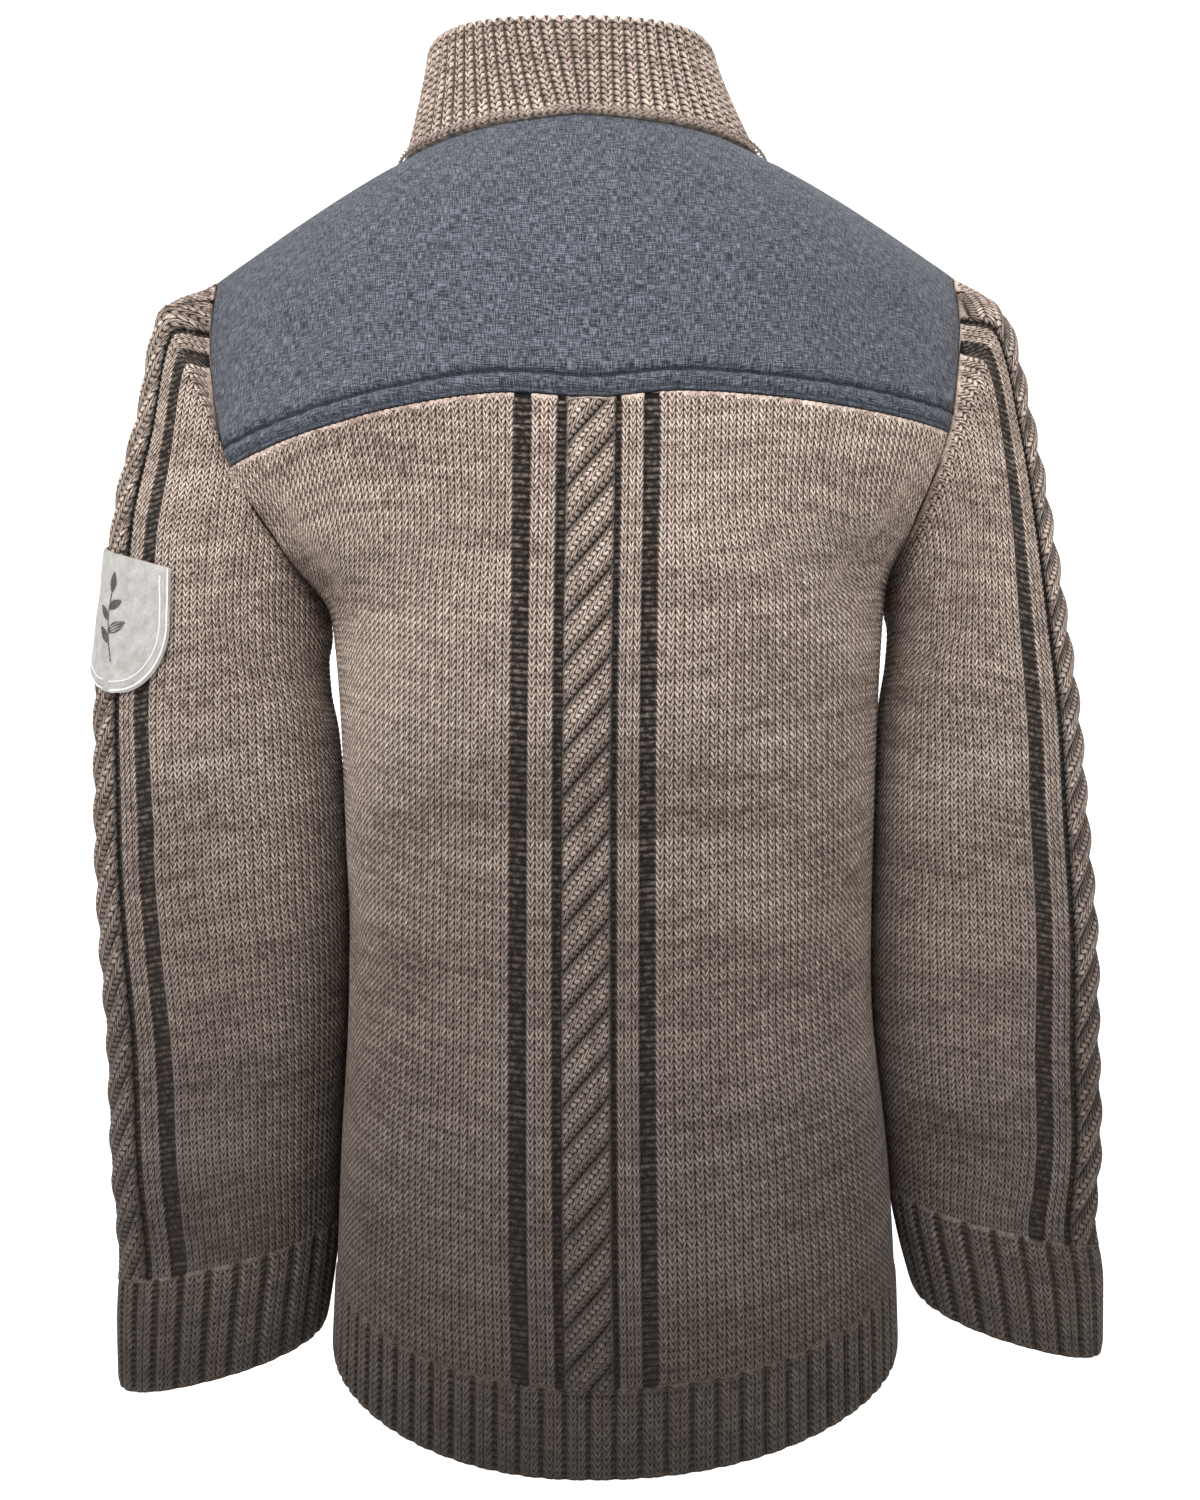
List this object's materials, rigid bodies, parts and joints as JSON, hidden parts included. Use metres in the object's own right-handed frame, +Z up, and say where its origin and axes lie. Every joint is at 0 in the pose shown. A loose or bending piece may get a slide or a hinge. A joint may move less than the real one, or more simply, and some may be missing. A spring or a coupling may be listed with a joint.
{
  "type": "cable knit cardigan",
  "caption": "Worn-form wool cardigan with a rope cable down the back and each sleeve, a woven back yoke, a ribbed stand collar, ribbed hem and cuffs, and a buttoned front.",
  "frame": {"origin": "middle of the neck opening, level with the neck seam at the centre back, where the wearer's neck and shoulders hold the garment", "axes": "+Z up; +Y the way the wearer faces, so the back panel faces -Y; +X towards the wearer's right"},
  "size_m": [0.5838, 0.3076, 0.777],
  "materials": {
    "knit": "matte brown heather wool, stocking stitch",
    "rib": "matte brown heather wool, ribbed",
    "yoke_cloth": "matte blue-grey melange woven wool",
    "felt": "matte light grey wool felt",
    "button": "polished dark brown"
  },
  "bodies": {
    "root": {"back": "knit", "yoke": "yoke_cloth", "front_left": "knit", "front_right": "knit", "button_band_left": "rib", "button_band_right": "rib", "button_1": "button", "button_2": "button", "button_3": "button", "button_4": "button", "button_5": "button", "button_6": "button", "collar": "rib", "sleeve_left": "knit", "sleeve_right": "knit", "patch": "felt"}
  },
  "joints": []
}
